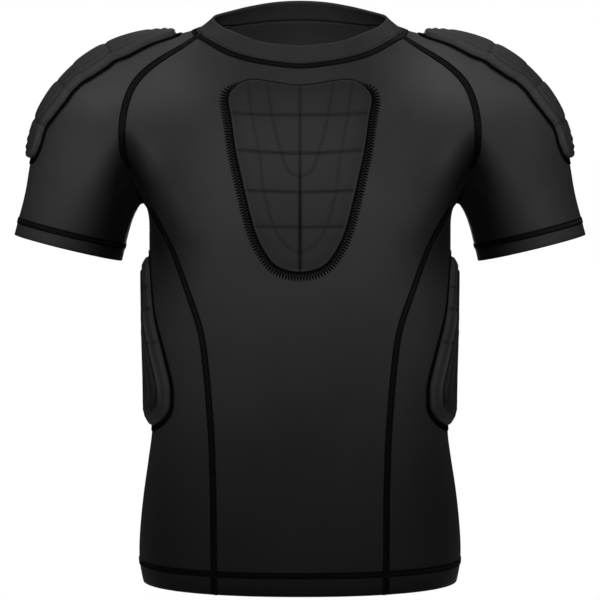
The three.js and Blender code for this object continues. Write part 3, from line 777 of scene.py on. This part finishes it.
flatSeam = {
    "tapeWidth": 6.6 * mm,
    "tapeAt": 0.0,
    "rise": 0.5 * mm,
    "thread": 0.34 * mm,
    "zigzag": 1,  # the thread's place in the piece's materials: 1 grey, 2 dark
    "reach": 2.4 * mm,
    "pitch": 2.6 * mm,
    "lines": (-3.0 * mm, 3.0 * mm),
    "edgeThread": 0.5 * mm,
    "threadUp": 0.4,  # how far the threads stand on the tape, of their radius and of its rise
    "edgeUp": 0.8,
}
sides = ("left", "right")
raglans = [seamLine(body, "sleeve_" + side) for body in ("front", "back") for side in sides]
sideSeams = [seamLine(body, "side_" + side) for body in ("front", "back") for side in sides]
underarms = [seamLine("side_" + side, "sleeve_" + side) for side in sides]
stitchedPiece("raglanSeams", raglans, flatSeam)
stitchedPiece("sideSeams", sideSeams, flatSeam)
stitchedPiece("underarmSeams", underarms, flatSeam)

# Cover stitch round the hem, the cuffs and the neck
coverStitch = {
    **flatSeam,
    "tapeWidth": 5.8 * mm,
    "rise": 0.35 * mm,
    "reach": 2.0 * mm,
    "pitch": 2.2 * mm,
    "lines": (-2.6 * mm, 2.6 * mm),
}
# How far the stitches are from the edges, and under which heights the edges of the hem and the cuffs are
hem = {"up": 20.5 * mm, "cuffUp": 15.5 * mm, "belowNeck": 4.6 * mm, "under": -0.5, "cuffUnder": -0.2}
armwards = (-0.48, 0, 0.88)  # from the left cuff up the arm


def freeEdge(name):
    others = [loop for other, loops in outerBorders.items() if other != name for loop in loops]
    finder = finderOf([p for loop in others for p in loop])
    return [p for loop in outerBorders[name] for p in loop if finder.find(p)[2] > sewing["touch"]]


def meanHeight(loop):
    return sum(p.z for p in loop) / len(loop)


hemPoints = [p for name in ("front", "back", "side_left", "side_right") for p in freeEdge(name)]
hemPoints = [p for p in hemPoints if p.z < hem["under"]]
hemPoints.sort(key=lambda p: math.atan2(p.y, p.x))
hemRing = evenly([p + Vector((0, 0, hem["up"])) for p in hemPoints], closed=True, softening=6)
stitchedPiece("hemStitch", [onCloth(hemRing, closed=True)], coverStitch)
cuffLines = []
for side, sign in zip(sides, (1, -1)):
    cuff = [loop for loop in outerBorders["sleeve_" + side] if min(p.z for p in loop) < hem["cuffUnder"]][0]
    up = Vector((armwards[0] * sign, armwards[1], armwards[2])) * hem["cuffUp"]
    ring = evenly([p + up for p in cuff], closed=True, softening=4)
    cuffLines.append(onCloth(ring, closed=True))
stitchedPiece("cuffStitch", cuffLines, coverStitch)
neckSeam = min(outerBorders["neckband"], key=meanHeight)
neckTop = max(outerBorders["neckband"], key=meanHeight)
topMiddle = sum(neckTop, Vector()) / len(neckTop)
neckLine = onCloth(evenly(neckSeam, closed=True), closed=True)
outwards = np.sign((sideways(neckLine) * (neckLine["points"] - np.array(topMiddle))).sum())
below = moved(neckLine, outwards * hem["belowNeck"])["points"][:-1]
neckStitch = onCloth(evenly(below, closed=True, softening=4), closed=True)
stitchedPiece("neckStitch", [neckStitch], coverStitch)
print("seams are sewn")

# Pads. Heights and distances in mm; a groove's line is (away from the middle line, up).
innerU = [(33, -46), (29, -72), (26, -92), (18, -121), (14, -134), (8, -142), (0, -144)]
outerU = [(51, -48), (46, -85), (42, -105), (38, -123), (35.5, -150), (31, -172), (25, -192), (16, -207)]
outerU += [(8, -213.5), (0, -215)]
chestGrooves = [
    {"line": [(0, -86.5), (40, -86), (85, -82.5)], "depth": 1.5},
    {"line": [(0, -122.7), (35, -121.5), (80, -117)], "depth": 1.6},
    {"line": [(0, -158.7), (35, -158), (70, -156)], "depth": 1.6},
    {"line": [(0, -192), (60, -191)], "depth": 1.4},
    {"line": [(0, -45), (0, -250)], "depth": 1.5, "lowDepth": 2.8},
    {"line": innerU, "depth": 0.9},
    {"line": outerU, "depth": 0.8},
]
# From the cloth up, in mm: the foot, then the wall to its rounded edge, then the crown to the full height
padShape = {
    "under": 0.25,
    "edge": 1.7,
    "wallCurve": 2.4,
    "crownCurve": 2,
    "nearEdge": (0, 0.12, 0.4, 0.85, 1.45, 2.2, 3.1, 4.2, 5.5),
    "underRings": (0, 0.3, 0.6, 0.85, 0.97),
    "quiltedFrom": (0.4, 2.5),
    "softening": 5,
    "weld": 0.002,
    "foot": 1.6,
    "dent": (0.6, 0.4),  # of a groove's narrow bottom and its soft shoulders
}
# A painted highlight along each pad's rounded edge, in mm: away from the edge, width and strength
padEdgeHighlight = {"at": 1.7, "wide": 0.8, "light": 0.55}
shoulderPad = {"kind": "sleeve", "around": 360, "rings": 60, "wall": 4.6, "crown": 10}
ribPad = {"kind": "side", "around": 320, "rings": 50, "wall": 3.0, "crown": 17, "swell": 1.25}
pads = {
    "chest_pad": {"kind": "front", "around": 450, "rings": 84, "wall": 3.2, "crown": 14, "corners": 14},
    "shoulder_pad_left": shoulderPad,
    "shoulder_pad_right": shoulderPad,
    "rib_pad_left": ribPad,
    "rib_pad_right": ribPad,
}
# The chest pad's grooves carry painted shade, and its lower part is darkened by painted shade
chestQuilt = {"narrow": 1.3, "shoulders": 4.5, "dark": 0.32, "darkWide": 1.4, "deepens": (110, 200)}
chestPaintedShade = {"span": (120, 200), "dark": 0.16}
# Where the shoulder pads are notched, as points of the front edge in the plane of the arm, and how
notches = {
    "at": [(182, -29), (232, -55.5), (255.5, -90)],
    "deep": 3.4,
    "wide": 5.5,
    "groove": 1.6,
    "narrow": 1.6,
    "shoulders": 5,
    # painted shade in each notch
    "dark": 0.45,
}
# Grooves round the shoulder pads: away from the edge, depth, and the painted highlight beside each
shoulderRings = {
    "rings": ((7.5, 1.5, 0.2), (14.5, 1.3, 0.3), (23, 1.1, 0.6)),
    "narrow": 1.5,
    "shoulders": 3.5,
    "dark": 0.3,
    "beside": 3,
    "lightWide": 1.2,
    "light": 0.2,
}
# The rib pads' band is crossed by cuts. Within it are a ridge, a trough, facets that fan out downwards and
# folds. How far down the ridge and the folds begin and end is in metres, and the rest is in mm. Their tones
# are painted light and shade: painted shade in the cuts, on the facets and over the inside of the band, and
# painted highlights on the band, the ridge, beside the facets and on the folds.
ribBand = {"wide": 8.6, "inside": 3.5, "cuts": (-252, -273, -305), "leans": 0.25}
ribCut = {"deep": 1.5, "wide": 1.4, "dark": 0.55, "darkWide": 1.1}
ribRidge = {
    "high": 1.5,
    "wide": 1.3,
    "light": 1.2,
    "from": (0.262, 0.285),
    "until": (0.35, 0.372),
    "lost": 0.85,
}
ribTrough = {"deep": 1.6, "at": 3.2, "wide": 1.8}
ribFacets = {"at": (-16, -5, 7, 17), "fan": 0.12, "foot": 360, "deep": 1.2, "wide": 2.4}
facetTone = {"light": 0.7, "beside": 3, "lightWide": 1.3, "dark": 0.2, "darkWide": 1.8}
ribFolds = {"folds": ((15, 0.9), (23, 1.3)), "wide": 2.2, "from": (0.275, 0.3), "high": 0.7}
ribTone = {"band": 0.05, "inside": 0.95}
toneSpan = (-0.9, 1.2)


def rounded(line, times=3):
    line = np.array(line, float)
    for _ in range(times):
        early, late = line[:-1] * 0.75 + line[1:] * 0.25, line[:-1] * 0.25 + line[1:] * 0.75
        line = np.concatenate([line[:1], np.stack([early, late], 1).reshape(-1, 2), line[-1:]])
    return line


def awayFrom(flat, line):
    return np.min([np.linalg.norm(away, axis=1) for _, _, _, away in besideLine(flat, line)], axis=0)


def bell(away, width):
    return np.exp(-((away / width) ** 2))


# A groove with a narrow bottom and soft shoulders
def dent(away, form):
    ofBottom, ofShoulders = padShape["dent"]
    return ofBottom * bell(away, form["narrow"]) + ofShoulders * bell(away, form["shoulders"])


def ease(value, low, high):
    share = np.clip((value - low) / (high - low), 0, 1)
    return share * share * (3 - 2 * share)


def alongArm(points):
    return armPlaces(points)[0] / mm


notchPlaces = alongArm(np.array([(x, 0, z) for x, z in notches["at"]], float) * mm)


# How far a pad's face is sunk at each point, and its tone of painted light and shade
def quiltChest(co, fromEdge, tone):
    sunk = np.zeros(len(co))
    flat = np.stack([np.abs(co[:, 0]), co[:, 2]], axis=1) / mm
    for groove in chestGrooves:
        away = awayFrom(flat, rounded(groove["line"]))
        deeper = groove.get("lowDepth", groove["depth"]) - groove["depth"]
        depth = groove["depth"] + deeper * ease(-flat[:, 1], *chestQuilt["deepens"])
        sunk = np.maximum(sunk, depth * dent(away, chestQuilt))
        # Painted shade in the groove
        tone = tone - depth * chestQuilt["dark"] * bell(away, chestQuilt["darkWide"])
    return sunk, tone - chestPaintedShade["dark"] * ease(-flat[:, 1], *chestPaintedShade["span"])


# Painted shade in the notches and grooves, painted highlights beside the grooves, and painted light over the
# whole pad
def quiltShoulder(co, fromEdge, tone):
    sunk, along = np.zeros(len(co)), alongArm(co)
    for at in notchPlaces:
        sunk = np.maximum(sunk, notches["groove"] * dent(along - at, notches))
        tone = tone - notches["dark"] * bell(along - at, notches["narrow"])
    for at, deep, light in shoulderRings["rings"]:
        sunk = np.maximum(sunk, deep * dent(fromEdge - at, shoulderRings))
        tone = tone - shoulderRings["dark"] * bell(fromEdge - at, shoulderRings["narrow"])
        tone = tone + light * bell(fromEdge - at + shoulderRings["beside"], shoulderRings["lightWide"])
    return sunk, tone + shoulderRings["light"]


# Painted shade in the cuts, on the facets and inside the band; painted highlights on the ridge, beside the
# facets and on the folds
def quiltRibs(co, fromEdge, tone):
    y, z, within = co[:, 1] / mm, co[:, 2] / mm, fromEdge - ribBand["wide"]
    inside = ease(within, 0, ribBand["inside"])
    low = 1 - ribRidge["lost"] * ease(-co[:, 2], *ribRidge["until"])
    ridge = bell(within, ribRidge["wide"]) * ease(-co[:, 2], *ribRidge["from"]) * low
    trough = bell(within - ribTrough["at"], ribTrough["wide"]) * low
    sunk = ribTrough["deep"] * trough - ribRidge["high"] * ridge
    for cut in ribBand["cuts"]:
        lean = z - cut + ribBand["leans"] * fromEdge
        sunk = sunk + ribCut["deep"] * bell(lean, ribCut["wide"]) * (1 - inside)
        tone = tone - ribCut["dark"] * bell(lean, ribCut["darkWide"]) * (1 - inside)
    for facet in ribFacets["at"]:
        lean = y - facet - ribFacets["fan"] * (z + ribFacets["foot"]) * np.sign(facet)
        sunk = sunk + ribFacets["deep"] * bell(lean, ribFacets["wide"]) * inside
        tone = tone + facetTone["light"] * bell(lean - facetTone["beside"], facetTone["lightWide"]) * inside
        tone = tone - facetTone["dark"] * bell(lean, facetTone["darkWide"]) * inside
    for at, light in ribFolds["folds"]:
        fold = bell(fromEdge - at, ribFolds["wide"]) * ease(-co[:, 2], *ribFolds["from"]) * low * inside
        sunk, tone = sunk - ribFolds["high"] * fold, tone + light * fold
    return sunk, tone + ribTone["band"] - ribTone["inside"] * inside + ribRidge["light"] * ridge


quilting = {"front": quiltChest, "sleeve": quiltShoulder, "side": quiltRibs}


# A pad is a closed form of rings: under it from its middle to its edge, and over it back to the middle.
def padMesh(name, pad, outline, thickness):
    ring = outline[:-1]
    middle = np.array(outerTree.find_nearest(Vector(ring.mean(axis=0)))[0])
    spokes = ring - middle
    reach = np.linalg.norm(spokes, axis=1)
    shares = [np.full(len(ring), share) for share in padShape["underRings"]]
    shares += [1 - away * mm / reach for away in padShape["nearEdge"]]
    inner = shares[-1]
    shares += [inner * (1 - (k + 1) / pad["rings"]) for k in range(pad["rings"])]
    rows, count, below = len(shares), len(ring), len(padShape["underRings"])
    flat = np.concatenate([middle + spokes * share[:, None] for share in shares])
    hits = [outerTree.find_nearest(Vector(p)) for p in flat]
    places = np.array([hit[0] for hit in hits]).reshape(rows, count, 3)
    normals = np.array([hit[1] for hit in hits]).reshape(rows, count, 3)
    for _ in range(padShape["softening"]):
        for grid in (places, normals):
            around = grid * 2 + np.roll(grid, 1, axis=1) + np.roll(grid, -1, axis=1)
            grid[:] = around / 4
            for part in (grid[:below], grid[below:]):
                part[1:-1] = part[1:-1] * 0.5 + (part[2:] + part[:-2]) * 0.25
            grid[0] = grid[0].mean(axis=0)
            grid[-1] = grid[-1].mean(axis=0)
    normals /= np.linalg.norm(normals, axis=2)[:, :, None]
    edge = finderOf([p + (after - p) * step / 3 for p, after in zip(ring, outline[1:]) for step in range(3)])
    over = places[below:].reshape(-1, 3)
    fromEdge = np.array([edge.find(p)[2] for p in over]) / mm
    fromEdge[:count] = 0
    # The painted highlight along the edge is where the tone starts
    rim = padEdgeHighlight["light"] * bell(fromEdge - padEdgeHighlight["at"], padEdgeHighlight["wide"])
    sunk, tone = quilting[pad["kind"]](over, fromEdge, rim)
    tone = np.clip(tone, *toneSpan)
    wall = 1 - np.clip(1 - fromEdge / padShape["edge"], 0, 1) ** padShape["wallCurve"]
    crown = 1 - np.clip(1 - fromEdge / pad["crown"], 0, 1) ** padShape["crownCurve"]
    rise = padShape["under"] + (pad["wall"] - padShape["under"]) * wall + (thickness - pad["wall"]) * crown
    rise = np.maximum(rise - sunk * ease(fromEdge, *padShape["quiltedFrom"]), padShape["under"])
    lift = np.concatenate([np.full(below * count, padShape["under"]), rise]).reshape(rows, count)
    tones = np.concatenate([np.zeros(below * count), tone]).reshape(rows, count)
    places = places + normals * (lift * mm)[:, :, None]
    bm = bmesh.new()
    toneLayer = bm.verts.layers.float.new("tone")
    made = bmesh.ops.create_grid(bm, x_segments=count, y_segments=rows - 1, size=1)
    for v in made["verts"]:
        i = round((v.co.x + 1) / 2 * count) % count
        j = round((v.co.y + 1) / 2 * (rows - 1))
        v.co = places[j, i]
        v[toneLayer] = tones[j, i]
    bmesh.ops.remove_doubles(bm, verts=bm.verts, dist=padShape["weld"] * mm)
    bmesh.ops.recalc_face_normals(bm, faces=bm.faces)
    mesh = bpy.data.meshes.new(name + "_smooth")
    for material in (padCover, padCover):
        mesh.materials.append(material)
    bm.to_mesh(mesh)
    bm.free()
    return mesh


# The line where a pad's CAD solid meets the cloth, and how far its face stands off the cloth
def footOf(nodeName):
    bm = bmesh.new()
    bm.from_mesh(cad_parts[nodeName].data)
    bmesh.ops.remove_doubles(bm, verts=bm.verts, dist=smoothing["weld"])
    away = {v: outerTree.find_nearest(v.co)[3] for v in bm.verts}
    under = [face for face in bm.faces if max(away[v] for v in face.verts) < padShape["foot"] * mm]
    border = borderLoops(under)[0]
    thickness = max(away.values()) / mm
    bm.free()
    return border, thickness


padStitch = {
    **flatSeam,
    "tapeWidth": 3.4 * mm,
    "tapeAt": -1.4 * mm,  # to the pad's side
    "rise": 0.4 * mm,
    "thread": 0.42 * mm,
    "zigzag": 2,
    "reach": 2.7 * mm,
    "pitch": 2.5 * mm,
    "lines": (-2.7 * mm,),
    "away": 3.1 * mm,
}
# Along the top of the chest pad, where a line's side points up, the stitches thin out and draw in to the pad.
chestStitch = {
    **padStitch,
    "tapeWidth": 2.6 * mm,
    "tapeAt": -3.5 * mm,
    "thread": 0.48 * mm,
    "reach": 4.3 * mm,
    "pitch": 2.8 * mm,
    "lines": (-4.1 * mm,),
    "away": 4.6 * mm,
    "thins": (0.45, 0.8),
    "thinned": 0.8,
    "drawnIn": 3.7 * mm,
}
for name, pad in pads.items():
    border, thickness = footOf(name)
    edge = onCloth(evenly(border, closed=True, softening=pad.get("corners", 4)), closed=True)
    middle = edge["points"].mean(axis=0)
    outwards = np.sign((sideways(edge) * (edge["points"] - middle)).sum())
    if pad["kind"] == "sleeve":
        dips = sum(bell(alongArm(edge["points"]) - at, notches["wide"]) for at in notchPlaces)
        edge = moved(edge, -outwards * notches["deep"] * mm * dips)
    spacing = lengthsAlong(edge["points"])[-1] / pad["around"]
    outline = evenly(edge["points"][:-1], spacing, closed=True, softening=3)
    mesh = padMesh(name, pad, outline, thickness * pad.get("swell", 1))
    mapWeave(mesh, pad["kind"])
    piece = addPiece("pad_" + name.replace("_pad", ""), mesh, padCover)
    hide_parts(name)
    look = chestStitch if name == "chest_pad" else padStitch
    ring = moved(edge, outwards * look["away"])["points"][:-1]
    stitchLine = onCloth(evenly(ring, closed=True, softening=3), closed=True)
    side = sideways(stitchLine) * outwards
    if outwards < 0:
        stitchLine["points"] = stitchLine["points"][::-1]
        stitchLine["normals"] = stitchLine["normals"][::-1]
        side = side[::-1]
    if name == "chest_pad":
        onTop = ease(side[:, 2], *look["thins"])
        stitchLine["scale"] = 1 - look["thinned"] * onTop
        stitchLine["points"] = stitchLine["points"] - side * (look["drawnIn"] * onTop)[:, None]
    stitchedPiece("stitch_" + name, [stitchLine], look)
    print(name, "is", round(thickness, 1), "mm thick,", len(mesh.polygons), "faces")
print("pads are made")

# Floor and light
studio = {"floor": -0.75, "floorRadius": 0.9, "ambient": 0.08}
floorMesh = bpy.data.meshes.new("floor")
bm = bmesh.new()
bmesh.ops.create_circle(bm, cap_ends=True, segments=96, radius=studio["floorRadius"])
bmesh.ops.translate(bm, verts=bm.verts, vec=(0, 0, studio["floor"]))
bm.to_mesh(floorMesh)
bm.free()
floor = bpy.data.objects.new("floor", floorMesh)
bpy.context.scene.collection.objects.link(floor)
floorMesh.materials.append(newMaterial("floor", {"Base Color": grey(0.85), "Roughness": 0.9})[0])

world = bpy.data.worlds.new("studio")
bpy.context.scene.world = world
world.use_nodes = True
air = Wire(world.node_tree)
seen = air.node("LightPath", {}, {}, output=0)
strength = seen * (1 - studio["ambient"]) + studio["ambient"]
world.node_tree.links.new(strength.socket, world.node_tree.nodes["Background"].inputs["Strength"])
world.node_tree.nodes["Background"].inputs["Color"].default_value = (1, 1, 1, 1)
bpy.context.scene.view_settings.view_transform = "Standard"

lamps = {
    "key": {"at": (0, -1.9, 0.3), "to": (0, 0, -0.15), "size": 0.9, "watts": 49},
    "left": {"at": (-1.1, -1.1, 1.0), "to": (-0.15, 0, -0.05), "size": 0.6, "watts": 10},
    "right": {"at": (1.1, -1.1, 1.0), "to": (0.15, 0, -0.05), "size": 0.6, "watts": 10},
    "rim": {"at": (0, 0.9, 1.2), "to": (0, 0, -0.05), "size": 0.8, "watts": 8},
    "back": {"at": (0, 2.0, -0.1), "to": (0, 0, -0.2), "size": 0.9, "watts": 32},
}
for name, lamp in lamps.items():
    light = bpy.data.lights.new(name, "AREA")
    light.shape = "DISK"
    light.size = lamp["size"]
    light.energy = lamp["watts"]
    holder = bpy.data.objects.new(name, light)
    bpy.context.scene.collection.objects.link(holder)
    holder.location = lamp["at"]
    aim = Vector(lamp["to"]) - Vector(lamp["at"])
    holder.rotation_euler = aim.to_track_quat("-Z", "Y").to_euler()
print("studio is lit")
